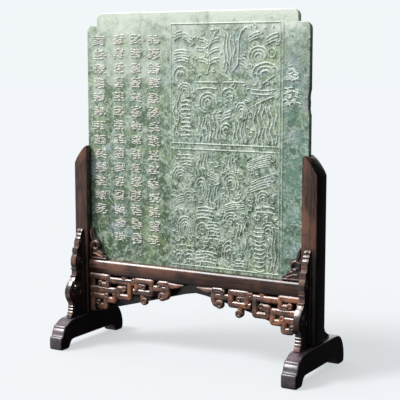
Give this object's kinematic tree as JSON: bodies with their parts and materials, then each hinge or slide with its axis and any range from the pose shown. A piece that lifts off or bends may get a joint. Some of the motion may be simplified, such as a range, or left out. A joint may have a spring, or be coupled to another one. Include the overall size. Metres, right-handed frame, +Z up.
{
  "type": "table screen",
  "caption": "Upright green stone slab with notched corners in a dark hardwood stand with scalloped standing brackets, arched feet and pierced key-fret aprons.",
  "frame": {"origin": "floor level under the middle of the stand, on the slab's middle plane", "axes": "+Z up the slab, -Y towards the inscribed front, +X to the right when seen from the front"},
  "size_m": [0.2782, 0.1112, 0.3414],
  "materials": {
    "jade": "polished opaque mottled green stone",
    "hardwood": "waxed, very dark, almost black",
    "carved_hardwood": "waxed, dark reddish brown, worn on the raised edges"
  },
  "bodies": {
    "root": {"jade_slab": "jade", "rail": "hardwood", "post_left": "hardwood", "post_right": "hardwood", "foot_left": "hardwood", "foot_right": "hardwood", "spandrel_front_left": "hardwood", "spandrel_front_right": "hardwood", "spandrel_rear_left": "hardwood", "spandrel_rear_right": "hardwood", "corner_bracket_left": "carved_hardwood", "corner_bracket_right": "carved_hardwood", "apron_front_left": "carved_hardwood", "apron_front_right": "carved_hardwood", "apron_rear": "hardwood"}
  },
  "joints": []
}
